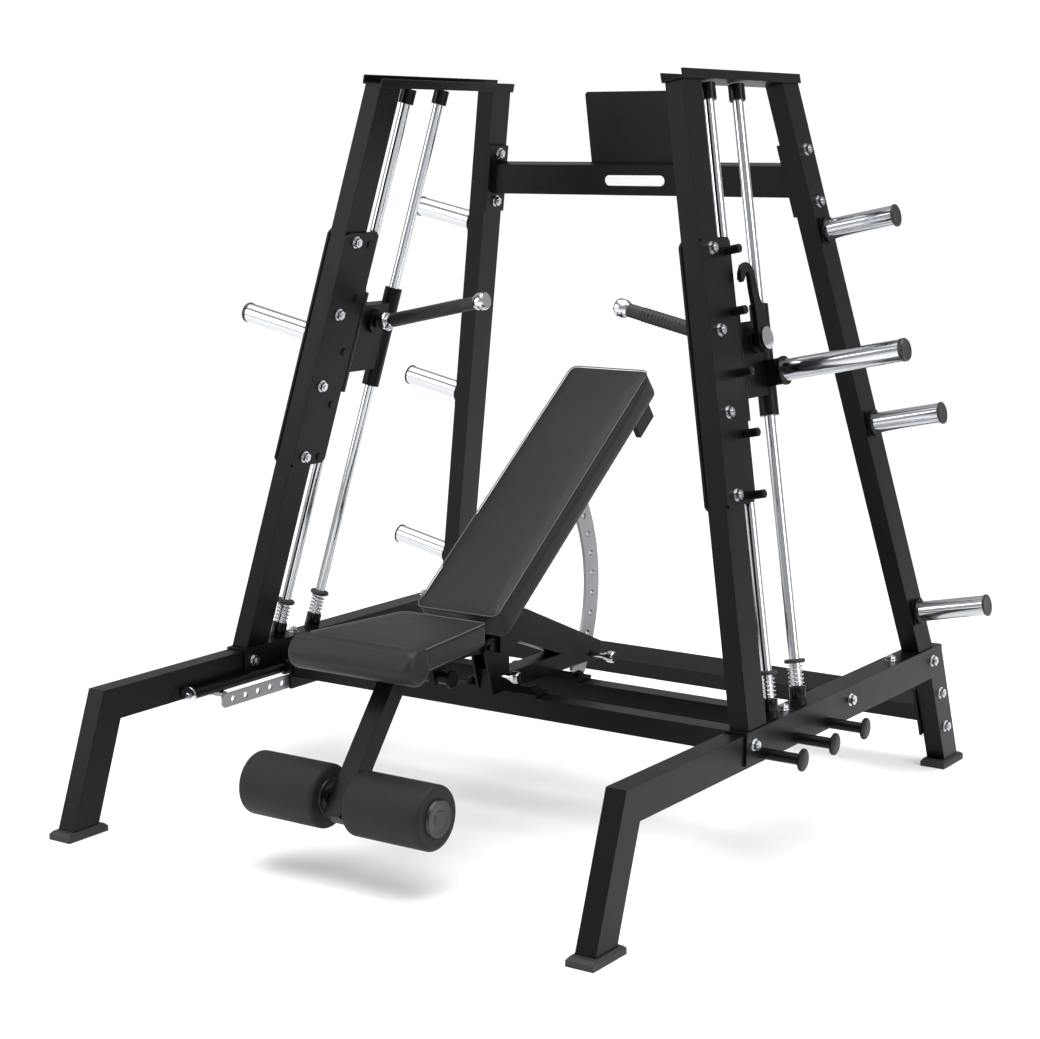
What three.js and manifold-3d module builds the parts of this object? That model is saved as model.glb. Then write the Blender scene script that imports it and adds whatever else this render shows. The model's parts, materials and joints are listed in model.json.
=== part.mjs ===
// Smith machine with two leaning pairs of guide rods, a sliding bench and a leg hold.
// Millimetres. X to the right, Y to the back, Z up, floor at Z = 0, symmetric about X = 0.
import * as THREE from 'three';
import * as BufferGeometryUtils from 'three/addons/utils/BufferGeometryUtils.js';
import Module from 'manifold-3d';

const wasm = await Module();
wasm.setup();

// ---- driving dimensions ----
const GAP = 0.3;
const BEAM = { inner: 680, outer: 728, wall: 3, bottom: 254, top: 330 };
const FOOT = { length: 124, width: 64.6, height: 20, frontY: -839.75, rearY: 840 };
const SADDLE = { sheet: 5, frontY: -286, rearY: 762 };
const TOWER = { floorX: 776.45, lean: 11.965 };
const ROD = { r: 12.5, bottom: 352, top: 1744, frontY: -125.4, rearY: 11, slope: 0.138 };
const POST = { half: 23, depth: 81, wall: 3, bottom: 345, top: 1747 };
const FRONT_POST = { y: -269.6, slope: 0.1372 };
const REAR_POST = { y: 618.2, slope: -0.1598 };
const POST_DATUM = 337;
const CHANNEL = { bottom: 1747.5, top: 1769, half: 29, sheet: 4.5, frontY: -81, rearY: 478 };
const RACK = { plate: 6, width: 128, low: 812, high: 1396, pegR: 10, pegEnd: 68 };
const PEG_LEVELS = [1364, 1229.4, 1095.3, 962, 827.6];
const RACK_BOLTS = [1373, 1194, 1015, 836];
const CARRIAGE = { low: 988, high: 1240, tubeR: 22, webLow: 1035, webHigh: 1205 };
const AXLE = { y: 58, v: 1161.5, r: 15 };
const SLEEVE = {
  r: 25, start: 45.5, right: { y: 114, v: 1083, end: 352 }, left: { y: 7.4, v: 1095, end: 354.55 },
};
const HORN = { r: 25, end: 212, levels: [436.5, 917, 1394.5] };
const SPRING = { low: 383.2, high: 428.3, coilR: 15.8, wireR: 2, turns: 4.5 };
const RING = { low: 431, high: 441, r: 24 };
const PEG_ROW = { ys: [-192, -38, 118], z: 269, r: 12.5, end: 823 };
const RAIL = { x: 655, z: 268, r: 12.5, frontY: -513, rearY: 280 };
const STRIP = { x0: 640.5, x1: 645.5, z: 233, half: 17.5, frontY: -408, rearY: 262, pitch: 46.4,
  firstY: -369 };
const CROSS = { z0: 246, z1: 295, front: [-156, -106], rear: [31, 81], end: 628 };
const PIVOT = { y: -139, z: 494 };
const SEAT_HINGE = { y: -222, z: 418 };
const PIN = { y: 215.1, z: 319 };
const RUNNER_PIN = { y: -44.2, z: 233 };
const SEAT_PIN = { y: -195, z: 349, tip: 22.6, knob: 88 };
const RECLINE = 37;
const SECTOR = { r: 395, half: 29, thick: 8, first: 46, last: -35, pitch: 7.43, hole0: 25.7, holes: 8 };
const PAD = { halfWidth: 114, length: 835, thick: 75 };
const SEAT = { front: -726, back: -366, top: 520, under: 462 };
const ROLLER = { y: -735.5, z: 178.6, r: 71.5, inner: 40, outer: 246 };

// Finish of each material: colour, roughness and metalness.
const FINISHES = {
  frame_black: [0x1d1d1e, 0.42, 0.0],
  gloss_black: [0x121213, 0.18, 0.0],
  chrome: [0xc9ccd0, 0.1, 1.0],
  plate_silver: [0xa9abae, 0.4, 0.85],
  rubber: [0x161616, 0.6, 0.0],
  vinyl: [0x3d3c39, 0.52, 0.0],
  foam: [0x262321, 0.78, 0.0],
};

// ---- small helpers ----
const rad = (degrees) => degrees * Math.PI / 180;
const S = Math.sin(rad(TOWER.lean));
const C = Math.cos(rad(TOWER.lean));

function basis(x, y, z, origin) {
  const m = new THREE.Matrix4().makeBasis(x, y, z);
  return m.setPosition(origin);
}

const SIDE_VIEW = basis(
  new THREE.Vector3(0, 1, 0), new THREE.Vector3(0, 0, 1), new THREE.Vector3(1, 0, 0), new THREE.Vector3());
const TOWER_PLANE = basis(
  new THREE.Vector3(0, 1, 0), new THREE.Vector3(-S, 0, C), new THREE.Vector3(C, 0, S),
  new THREE.Vector3(TOWER.floorX, 0, 0));

// A point of the leaning tower plane: y along the machine, v up the slope, n outwards.
function towerPoint(y, v, n) {
  return new THREE.Vector3(y, v, n).applyMatrix4(TOWER_PLANE);
}

function shapeOf(outline, holes = []) {
  const shape = new THREE.Shape(outline.map(([a, b]) => new THREE.Vector2(a, b)));
  for (const [a, b, r] of holes) {
    const path = new THREE.Path();
    path.absarc(a, b, r, 0, 2 * Math.PI, true);
    shape.holes.push(path);
  }
  return shape;
}

// Extrudes an outline of the given plane from depth d0 to d1.
function prism(outline, d0, d1, plane = SIDE_VIEW, holes = [], curveSegments = 5) {
  const geometry = new THREE.ExtrudeGeometry(
    shapeOf(outline, holes), { depth: d1 - d0, bevelEnabled: false, curveSegments });
  geometry.translate(0, 0, d0);
  geometry.applyMatrix4(plane);
  return geometry;
}

function block(x0, x1, y0, y1, z0, z1) {
  return prism([[y0, z0], [y1, z0], [y1, z1], [y0, z1]], x0, x1);
}

// Turns a profile of [radius, distance] about the line from a towards b.
function turned(a, b, profile, segments = 18) {
  const axis = b.clone().sub(a).normalize();
  const geometry = new THREE.LatheGeometry(profile.map(([r, d]) => new THREE.Vector2(r, d)), segments);
  const turn = new THREE.Quaternion().setFromUnitVectors(new THREE.Vector3(0, 1, 0), axis);
  geometry.applyQuaternion(turn);
  geometry.translate(a.x, a.y, a.z);
  return geometry;
}

function rod(a, b, r, segments = 18) {
  const length = a.distanceTo(b);
  return turned(a, b, [[0, 0], [r, 0], [r, length], [0, length]], segments);
}

function tubeRound(a, b, r, bore, segments = 16) {
  const length = a.distanceTo(b);
  return turned(a, b, [[bore, 0], [r, 0], [r, length], [bore, length], [bore, 0]], segments);
}

function hexHead(a, b, across, height) {
  return rod(a, a.clone().add(b.clone().sub(a).setLength(height)), across / Math.sqrt(3), 6);
}

const at = (x, y, z) => new THREE.Vector3(x, y, z);

function solid(geometry) {
  const plain = geometry.clone();
  plain.deleteAttribute('normal');
  plain.deleteAttribute('uv');
  const merged = BufferGeometryUtils.mergeVertices(plain, 1e-3);
  return new wasm.Manifold(new wasm.Mesh({
    numProp: 3,
    vertProperties: new Float32Array(merged.attributes.position.array),
    triVerts: new Uint32Array(merged.index.array),
  }));
}

function unsolid(manifold) {
  const mesh = manifold.getMesh();
  const geometry = new THREE.BufferGeometry();
  geometry.setAttribute('position', new THREE.BufferAttribute(new Float32Array(mesh.vertProperties), 3));
  geometry.setIndex(new THREE.BufferAttribute(new Uint32Array(mesh.triVerts), 1));
  const flat = geometry.toNonIndexed();
  flat.computeVertexNormals();
  return flat;
}

function join(...pieces) {
  return unsolid(pieces.map(solid).reduce((a, b) => a.add(b)));
}

function cut(body, ...tools) {
  return unsolid([body, ...tools].map(solid).reduce((a, b) => a.subtract(b)));
}

function common(a, b) {
  return unsolid(solid(a).intersect(solid(b)));
}

// The same geometry on the other side of the machine.
function mirrored(geometry) {
  const flat = geometry.index ? geometry.toNonIndexed() : geometry.clone();
  const p = flat.attributes.position;
  for (let i = 0; i < p.count; i += 3) {
    const a = [-p.getX(i), p.getY(i), p.getZ(i)];
    const b = [-p.getX(i + 1), p.getY(i + 1), p.getZ(i + 1)];
    const c = [-p.getX(i + 2), p.getY(i + 2), p.getZ(i + 2)];
    p.setXYZ(i, ...a);
    p.setXYZ(i + 1, ...c);
    p.setXYZ(i + 2, ...b);
  }
  flat.computeVertexNormals();
  return flat;
}

// ---- base ----
function baseFrame() {
  const outer = [[-880, 20], [-799, 20], [-717, 254], [700.3, 254], [800, 20], [880, 20],
    [755, 330], [-769, 330]];
  const inner = [[-878.4, 15], [-804, 15], [-719, 257], [702.3, 257], [805, 15], [879, 15],
    [753, 327], [-766.8, 327]];
  const shell = prism(outer, BEAM.inner, BEAM.outer);
  return cut(shell, prism(inner, BEAM.inner + BEAM.wall, BEAM.outer - BEAM.wall));
}

function foot(middleY) {
  const x0 = (BEAM.inner + BEAM.outer) / 2 - FOOT.width / 2;
  const x1 = x0 + FOOT.width;
  const y0 = middleY - FOOT.length / 2;
  const y1 = middleY + FOOT.length / 2;
  const top = FOOT.height - GAP;
  const side = prism([[y0, 0], [y1, 0], [y1, 13], [y1 - 8, top], [y0 + 8, top], [y0, 13]], x0, x1);
  const endPlane = basis(at(1, 0, 0), at(0, 0, 1), at(0, -1, 0), at(0, 0, 0));
  const end = prism([[x0, 0], [x1, 0], [x1, 13], [x1 - 5, top], [x0 + 5, top], [x0, 13]],
    -y1 - 1, -y0 + 1, endPlane);
  return common(side, end);
}

// Folded plate over the beam, with the rod sockets on top and the band pegs outside.
function saddle() {
  const x0 = BEAM.inner - GAP;
  const x1 = BEAM.outer + GAP;
  const s = SADDLE.sheet;
  const under = block(x0, x1, SADDLE.frontY - 5, SADDLE.rearY + 5, 200, BEAM.top + GAP);
  const over = prism(
    [[SADDLE.frontY, 262], [690, 262], [SADDLE.rearY - 14, 327], [SADDLE.rearY - 18, 335],
    [SADDLE.frontY + 2, 335]],
    x0 - s, x1 + s);
  const plate = cut(over, under);
  const pieces = [plate];
  for (const y of PEG_ROW.ys) {
    const a = at(BEAM.outer + GAP + 1, y, PEG_ROW.z);
    const end = PEG_ROW.end - a.x;
    pieces.push(turned(a, at(900, y, PEG_ROW.z),
      [[0, 0], [PEG_ROW.r, 0], [PEG_ROW.r, end - 5], [25, end - 5], [25, end - 1], [23.5, end], [0, end]]));
  }
  for (const y of [ROD.frontY, ROD.rearY]) {
    const socket = rod(towerPoint(rodY(y, 330), 330, 0), towerPoint(rodY(y, 351.6), 351.6, 0), 19);
    pieces.push(cut(socket, block(600, 800, y - 60, y + 60, 250, 332)));
  }
  for (const y of [-251, 222, 690]) {
    pieces.push(hexHead(at(x1 + s - 1, y, 302), at(900, y, 302), 19, 9));
  }
  for (const y of [-60, 504]) {
    pieces.push(hexHead(at(704, y, 334), at(704, y, 400), 19, 8));
  }
  return join(...pieces);
}

function postOutline(post, v0, v1, inset) {
  const face = (v) => post.y + post.slope * (v - POST_DATUM);
  return [
    [face(v0) + inset, v0], [face(v0) + POST.depth - inset, v0],
    [face(v1) + POST.depth - inset, v1], [face(v1) + inset, v1],
  ];
}

// A hollow post, trimmed level where it stands on the saddle.
function post(spec) {
  const outer = prism(postOutline(spec, 330, POST.top, 0), -POST.half, POST.half, TOWER_PLANE);
  const w = POST.wall;
  const bore = prism(postOutline(spec, 320, POST.top + 10, w), -POST.half + w, POST.half - w, TOWER_PLANE);
  const floor = block(600, 850, -400, 800, 250, 335 + GAP);
  return cut(outer, bore, floor);
}

function topChannel() {
  const c = CHANNEL;
  const profile = [[c.frontY, c.bottom], [c.rearY, c.bottom], [c.rearY, c.top], [c.frontY, c.top]];
  const inside = [
    [c.frontY - 5, c.bottom + c.sheet], [c.rearY + 5, c.bottom + c.sheet],
    [c.rearY + 5, c.top + 5], [c.frontY - 5, c.top + 5],
  ];
  const bar = prism(profile, -c.half, c.half, TOWER_PLANE);
  return cut(bar, prism(inside, -c.half + c.sheet, c.half - c.sheet, TOWER_PLANE));
}

function rodY(y, v) {
  return y + ROD.slope * (v - POST_DATUM);
}

// Polished guide rod with its lower and upper clamping collars.
function guideRod(y) {
  const a = towerPoint(rodY(y, ROD.bottom), ROD.bottom, 0);
  const b = towerPoint(rodY(y, ROD.top), ROD.top, 0);
  const length = a.distanceTo(b);
  return turned(a, b, [
    [0, 0], [19, 0], [19, 26], [17.5, 28], [ROD.r, 28], [ROD.r, length - 38], [19, length - 38],
    [19, length - 1], [0, length - 1],
  ]);
}

function spring(y) {
  const s = SPRING;
  const points = [];
  const steps = Math.round(s.turns * 9);
  for (let i = 0; i <= steps; i++) {
    const t = i / steps;
    const angle = 2 * Math.PI * s.turns * t;
    const v = s.low + s.wireR + 0.2 + (s.high - s.low - 2 * s.wireR - 0.4) * t;
    points.push(towerPoint(rodY(y, v) + s.coilR * Math.cos(angle), v, s.coilR * Math.sin(angle)));
  }
  const corner = (i) => [s.wireR * Math.cos(i * 0.4 * Math.PI), s.wireR * Math.sin(i * 0.4 * Math.PI)];
  const ring = [0, 1, 2, 3, 4].map(corner);
  return new THREE.ExtrudeGeometry(shapeOf(ring), {
    extrudePath: new THREE.CatmullRomCurve3(points), steps, bevelEnabled: false,
  });
}

function bumperRing(y) {
  const a = towerPoint(rodY(y, RING.low), RING.low, 0);
  const b = towerPoint(rodY(y, RING.high), RING.high, 0);
  const length = a.distanceTo(b);
  return turned(a, b, [
    [13, 0], [RING.r - 1, 0], [RING.r, 1], [RING.r, length - 1], [RING.r - 1, length], [13, length], [13, 0],
  ]);
}

// Two plates either side of the front post with the catch pegs through both.
function catchRack() {
  const k = FRONT_POST.slope;
  const front = (v) => FRONT_POST.y + k * (v - POST_DATUM) - 3;
  const w = RACK.width;
  const outline = [
    [front(RACK.low) + 10, RACK.low], [front(RACK.low) + w - 10, RACK.low],
    [front(RACK.low + 10) + w, RACK.low + 10],
    [front(RACK.high - 10) + w, RACK.high - 10], [front(RACK.high) + w - 10, RACK.high],
    [front(RACK.high) + 10, RACK.high], [front(RACK.high - 10), RACK.high - 10],
    [front(RACK.low + 10), RACK.low + 10],
  ];
  const n0 = POST.half + GAP;
  const pieces = [
    prism(outline, n0, n0 + RACK.plate, TOWER_PLANE),
    prism(outline, -n0 - RACK.plate, -n0, TOWER_PLANE),
  ];
  for (const v of PEG_LEVELS) {
    const y = front(v) + 3 + POST.depth + 18;
    const a = towerPoint(y, v, -n0 - RACK.plate - 3);
    const b = towerPoint(y, v, RACK.pegEnd);
    const length = a.distanceTo(b);
    pieces.push(turned(a, b,
      [[0, 0], [RACK.pegR, 0], [RACK.pegR, length - 2], [RACK.pegR - 2, length], [0, length]], 12));
  }
  for (const v of RACK_BOLTS) {
    const y = front(v) + 3 + POST.depth / 2;
    pieces.push(hexHead(towerPoint(y, v, n0 + RACK.plate - 1), towerPoint(y, v, 100), 19, 9));
    pieces.push(hexHead(towerPoint(y, v, -n0 - RACK.plate + 1), towerPoint(y, v, -100), 19, 9));
  }
  return join(...pieces);
}

// Weight horn on the outside of the rear post: root plate, collar, sleeve and end cap.
function storageHorn(v) {
  const y = REAR_POST.y + REAR_POST.slope * (v - POST_DATUM) + POST.depth / 2;
  const n0 = POST.half + GAP;
  const plate = prism(
    [[y - 30, v - 30], [y + 30, v - 30], [y + 30, v + 30], [y - 30, v + 30]], n0, n0 + 5, TOWER_PLANE);
  const horn = turned(towerPoint(y, v, n0 + 1), towerPoint(y, v, 300), [
    [0, 0], [32, 0], [32, 10], [HORN.r, 10], [HORN.r, HORN.end - n0 - 5], [27, HORN.end - n0 - 5],
    [27, HORN.end - n0 - 2], [25, HORN.end - n0 - 1], [0, HORN.end - n0 - 1],
  ], 20);
  return join(plate, horn);
}

// ---- cross members ----
const TILT = rad(22);
const REAR_PLANE = basis(
  at(0, Math.cos(TILT), Math.sin(TILT)), at(0, -Math.sin(TILT), Math.cos(TILT)),
  at(1, 0, 0), at(0, 725.7, 172.2));

function rearCrossmember() {
  const half = 673.6;
  const outer = prism([[0, -48], [76, -48], [76, 0], [0, 0]], -half, half, REAR_PLANE);
  const bore = prism([[3, -45], [73, -45], [73, -3], [3, -3]], -half - 9, half + 9, REAR_PLANE);
  const pieces = [outer];
  for (const x of [673, -679.6]) {
    pieces.push(prism([[1, -95], [77, -95], [77, 45], [1, 45]], x, x + 6.6, REAR_PLANE));
    for (const level of [-80, 26]) {
      const a = at(x > 0 ? x + 1 : x + 5.6, 0, 0);
      const middle = at(0, 725.7 + 40 * Math.cos(TILT) - level * Math.sin(TILT),
        172.2 + 40 * Math.sin(TILT) + level * Math.cos(TILT));
      a.setY(middle.y).setZ(middle.z);
      pieces.push(hexHead(a, at(0, a.y, a.z), 19, 9));
    }
  }
  return cut(join(...pieces), bore);
}

const TOP_TILT = rad(9.2);
const TOP_PLANE = basis(
  at(0, Math.cos(TOP_TILT), Math.sin(TOP_TILT)), at(0, -Math.sin(TOP_TILT), Math.cos(TOP_TILT)),
  at(1, 0, 0), at(0, 444, 1520));

function upperCrossbeam() {
  const half = 436;
  const outer = prism([[0, -76], [48, -76], [48, 0], [0, 0]], -half, half, TOP_PLANE);
  const bore = prism([[3, -73], [45, -73], [45, -3], [3, -3]], -half - 40, half + 40, TOP_PLANE);
  const v0 = 1436;
  const v1 = 1609;
  const front = (v) => REAR_POST.y + REAR_POST.slope * (v - POST_DATUM);
  const n = -POST.half - GAP;
  const outline = [[front(v0), v0], [front(v0) + 80, v0], [front(v1) + 80, v1], [front(v1), v1]];
  const right = [prism(outline, n - 8, n, TOWER_PLANE)];
  for (const v of [1463.5, 1589]) {
    const y = front(v) + POST.depth / 2;
    right.push(hexHead(towerPoint(y, v, n - 7), towerPoint(y, v, -100), 19, 9));
  }
  const trim = prism([[300, 1300], [600, 1300], [600, 1700], [300, 1700]], n - 1, 200, TOWER_PLANE);
  const tube = cut(outer, trim, mirrored(trim));
  return cut(join(tube, ...right, ...right.map(mirrored)), bore);
}

// Trapezoid sheet behind the upper crossbeam, with a folded lip that carries it.
function rearPanel() {
  const plane = basis(at(1, 0, 0), at(0, 0, 1), at(0, -1, 0), at(0, 0, 0));
  const face = [
    [-150, 1460], [150, 1460], [155, 1525], [176, 1697], [170, 1703], [-170, 1703], [-176, 1697],
    [-155, 1525],
  ];
  const bent = [[494, 1710], [494, 1524], [502.4, 1464], [507.4, 1464], [499, 1525], [499, 1710]];
  return common(prism(face, -520, -480, plane), prism(bent, -180, 180));
}

// ---- bench runner ----
function slideRail() {
  const a = at(RAIL.x, RAIL.frontY, RAIL.z);
  const length = RAIL.rearY - RAIL.frontY;
  const bar = turned(a, at(RAIL.x, 900, RAIL.z), [
    [0, -6], [8, -6], [8, 0], [22, 0], [22, 5], [RAIL.r, 5], [RAIL.r, length], [0, length],
  ]);
  const tab = (y, x1) => block(RAIL.x, x1, y - 20, y + 20, RAIL.z - 5, RAIL.z + 5);
  const tabs = [tab(-470, BEAM.inner - GAP), tab(240, BEAM.inner - 2 * GAP - SADDLE.sheet)];
  return join(bar, ...tabs);
}

function stripBar() {
  const holes = [];
  for (let i = 0; i < 13; i++) {
    holes.push([STRIP.firstY + i * STRIP.pitch, STRIP.z, 8]);
  }
  const y0 = STRIP.frontY;
  const y1 = STRIP.rearY;
  const h = STRIP.half;
  const z = STRIP.z;
  const outline = [
    [y0, z - h + 8], [y0 + 8, z - h], [y1 - 8, z - h], [y1, z - h + 8],
    [y1, z + h - 8], [y1 - 8, z + h], [y0 + 8, z + h], [y0, z + h - 8],
  ];
  const bar = prism(outline, STRIP.x0, STRIP.x1, SIDE_VIEW, holes, 4);
  const tabs = [-396, 240].map((y) => block(STRIP.x1 - 1, 705, y - 10, y + 10, 244, BEAM.bottom - GAP));
  return join(bar, ...tabs);
}

// Double crossmember that slides on the two rails and carries the bench.
function benchRunner() {
  const pieces = [];
  for (const [y0, y1] of [CROSS.front, CROSS.rear]) {
    const outer = block(-CROSS.end, CROSS.end, y0, y1, CROSS.z0, CROSS.z1);
    const bore = block(-CROSS.end - 5, CROSS.end + 5, y0 + 3, y1 - 3, CROSS.z0 + 3, CROSS.z1 - 3);
    const drain = block(-10, 10, y0 + 15, y1 - 15, CROSS.z0 - 5, CROSS.z0 + 5);
    pieces.push(cut(outer, bore, drain));
  }
  for (const side of [-1, 1]) {
    const x0 = side > 0 ? 628 : -634;
    pieces.push(block(x0 - 0.5, x0 + 6.5, CROSS.front[0] - 8, CROSS.rear[1] + 8, 216, 299));
    for (const [y0, y1] of [CROSS.front, CROSS.rear]) {
      const middle = (y0 + y1) / 2;
      const a = at(side * RAIL.x, middle - 30, RAIL.z);
      const b = at(side * RAIL.x, middle + 30, RAIL.z);
      const inner = side > 0 ? 633 : -641;
      pieces.push(join(tubeRound(a, b, 19, 12.9),
        block(inner, inner + 8, middle - 28, middle + 28, 256, 280)));
    }
  }
  const pinBore = rod(at(-640, RUNNER_PIN.y, RUNNER_PIN.z), at(-620, RUNNER_PIN.y, RUNNER_PIN.z), 6.5, 20);
  return cut(join(...pieces), pinBore);
}

function benchBase() {
  const pieces = [];
  pieces.push(block(-25, 25, -163, 262, 303, 345));
  const strut = [[-150, 430], [-150, 452], [-124, 473], [-74, 486], [262, 345], [262, 300], [205, 300]];
  pieces.push(prism(strut, -25, 25));
  pieces.push(block(-22, 22, -190, -140, 303, 452));
  for (const x of [-31, 24]) {
    pieces.push(prism([[-190, 400], [-70, 420], [-112, 512], [-162, 516], [-190, 470]], x, x + 7,
      SIDE_VIEW, [[PIVOT.y, PIVOT.z, 11.2]]));
  }
  for (const [y0, y1] of [CROSS.front, CROSS.rear]) {
    pieces.push(block(-110, 110, y0 - 3, y1 + 3, CROSS.z1 + GAP, 303.5));
    for (const x of [-92, 92]) {
      pieces.push(hexHead(at(x, (y0 + y1) / 2, 303), at(x, (y0 + y1) / 2, 400), 19, 9));
    }
  }
  const seatEars = [[-212, 315], [-188, 303], [-188, 430], [-204, 440], [-228, 438], [-240, 424],
    [-236, 402]];
  const seatHole = [[SEAT_HINGE.y, SEAT_HINGE.z, 7.4]];
  pieces.push(prism(seatEars, -22, -16, SIDE_VIEW, seatHole));
  pieces.push(prism(seatEars, 16, 22, SIDE_VIEW, seatHole));
  pieces.push(block(-22, 22, -208, -160, 303, 362));
  const apexSlot = block(-5.2, 5.2, 160, 300, 290, 420);
  const pinBore = rod(at(-40, PIN.y, PIN.z), at(40, PIN.y, PIN.z), 8, 20);
  return cut(join(...pieces), apexSlot, pinBore);
}

// ---- back rest ----
const BACK_PLANE = basis(
  at(0, Math.cos(rad(RECLINE)), Math.sin(rad(RECLINE))),
  at(0, -Math.sin(rad(RECLINE)), Math.cos(rad(RECLINE))),
  at(1, 0, 0), at(0, PIVOT.y, PIVOT.z));
const PAD_FACE = 137;
const PAD_START = -135;

function backFrame() {
  const pieces = [];
  const under = PAD_FACE - PAD.thick - GAP;
  pieces.push(prism([[-12, under - 46], [640, under - 46], [640, under - 6], [-12, under - 6]],
    -23, 23, BACK_PLANE));
  for (const u of [30, 605]) {
    pieces.push(prism([[u, under - 7], [u + 50, under - 7], [u + 50, under], [u, under]],
      -98, 98, BACK_PLANE));
  }
  const cheek = [[590, under - 54], [668, under - 54], [668, under], [590, under]];
  pieces.push(prism(cheek, -98, -84, BACK_PLANE), prism(cheek, 84, 98, BACK_PLANE));
  const hinge = rod(at(-38, PIVOT.y, PIVOT.z), at(38, PIVOT.y, PIVOT.z), 10);
  pieces.push(prism([[-14, -14], [14, -14], [24, 30], [-14, 30]], -23, 23, BACK_PLANE), hinge);
  return join(...pieces, sector());
}

// Curved plate with the recline holes, centred on the back rest's pivot.
function sector() {
  const s = SECTOR;
  const ring = (r, from, to, n) => Array.from({ length: n + 1 }, (_, i) => {
    const a = rad(from + (to - from) * i / n);
    return [PIVOT.y + r * Math.cos(a), PIVOT.z + r * Math.sin(a)];
  });
  const outline = [...ring(s.r + s.half, s.last, s.first - 5, 18),
    ...ring(s.r - s.half, s.first - 5, s.last, 18)];
  const holes = [];
  for (let i = 0; i < s.holes; i++) {
    const a = rad(s.hole0 - i * s.pitch);
    holes.push([PIVOT.y + s.r * Math.cos(a), PIVOT.z + s.r * Math.sin(a), 8]);
  }
  return prism(outline, -s.thick / 2, s.thick / 2, SIDE_VIEW, holes, 4);
}

function backPad() {
  const u0 = PAD_START;
  const u1 = PAD_START + PAD.length;
  const v0 = PAD_FACE - PAD.thick;
  const v1 = PAD_FACE;
  const w = PAD.halfWidth;
  const side = [
    [u0, v0 + 6], [u0 + 6, v0], [u1 - 6, v0], [u1, v0 + 6], [u1, v1 - 22], [u1 - 8, v1 - 7], [u1 - 22, v1],
    [u0 + 22, v1], [u0 + 8, v1 - 7], [u0, v1 - 22],
  ];
  const facePlane = basis(
    at(1, 0, 0), at(0, Math.cos(rad(RECLINE)), Math.sin(rad(RECLINE))),
    at(0, -Math.sin(rad(RECLINE)), Math.cos(rad(RECLINE))), at(0, PIVOT.y, PIVOT.z));
  const face = [
    [-w, u0 + 18], [-w + 5, u0 + 5], [-w + 18, u0], [w - 18, u0], [w - 5, u0 + 5], [w, u0 + 18],
    [w, u1 - 18], [w - 5, u1 - 5], [w - 18, u1], [-w + 18, u1], [-w + 5, u1 - 5], [-w, u1 - 18],
  ];
  return common(prism(side, -w - 1, w + 1, BACK_PLANE), prism(face, v0 - 5, v1 + 5, facePlane));
}

// ---- seat, leg arm and rollers ----
function seatFrame() {
  const pieces = [];
  pieces.push(prism([[-600, 420], [-600, 454], [-350, 454], [-300, 430], [-275, 430], [-275, 412]], -23, 23));
  pieces.push(prism([[-290, 410], [-290, 430], [-226, 433], [-206, 424], [-206, 412],
    [-218, 404]], -14.5, 14.5));
  pieces.push(block(-80, 80, -600, -560, 453.5, 461.5));
  pieces.push(block(-80, 80, -420, -380, 453.5, 461.5));
  pieces.push(rod(at(-27, SEAT_HINGE.y, SEAT_HINGE.z), at(27, SEAT_HINGE.y, SEAT_HINGE.z), 7, 20));
  pieces.push(prism([[-560, 454], [-600, 396], [-786, 155], [-750, 127], [-566, 367], [-520, 421]], -23, 23));
  pieces.push(prism([[-432, 425], [-374, 425], [-388, 366], [-418, 366]], -8, 8));
  pieces.push(turned(at(-30, -403, 383), at(60, -403, 383), [[0, 0], [14, 0], [14, 72], [21, 72],
    [21, 78], [0, 78]]));
  const axle = rod(at(-249, ROLLER.y, ROLLER.z), at(249, ROLLER.y, ROLLER.z), 10, 20);
  return join(...pieces, axle);
}

function seatPad() {
  const plane = basis(at(1, 0, 0), at(0, 1, 0), at(0, 0, 1), at(0, 0, 0));
  const outline = [
    [-170, SEAT.front + 40], [-168, SEAT.front], [168, SEAT.front], [170, SEAT.front + 40],
    [119, SEAT.back - 14], [105, SEAT.back], [-105, SEAT.back], [-119, SEAT.back - 14],
  ];
  const f = SEAT.front;
  const side = [
    [f + 12, 506], [f, 480], [f + 12, 452], [f + 40, 440], [f + 64, 449], [f + 74, SEAT.under],
    [SEAT.back, SEAT.under],
    [SEAT.back, SEAT.top - 14], [SEAT.back - 12, SEAT.top], [f + 40, SEAT.top],
  ];
  return common(prism(outline, 400, 560, plane), prism(side, -180, 180));
}

function roller() {
  const r = ROLLER;
  const length = r.outer - r.inner;
  return turned(at(r.inner, r.y, r.z), at(900, r.y, r.z), [
    [10.6, 0], [r.r - 6, 0], [r.r, 6], [r.r, length - 6], [r.r - 6, length], [10.6, length], [10.6, 0],
  ], 28);
}

// ---- pull pins ----
function pullPin(tip, knob) {
  const length = tip.distanceTo(knob);
  return turned(tip, knob, [
    [0, 0], [4.6, 0], [6, 3], [6, length - 30], [9, length - 28], [9, length - 22], [14, length - 18],
    [15, length - 4], [12, length], [0, length],
  ], 14);
}

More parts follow.
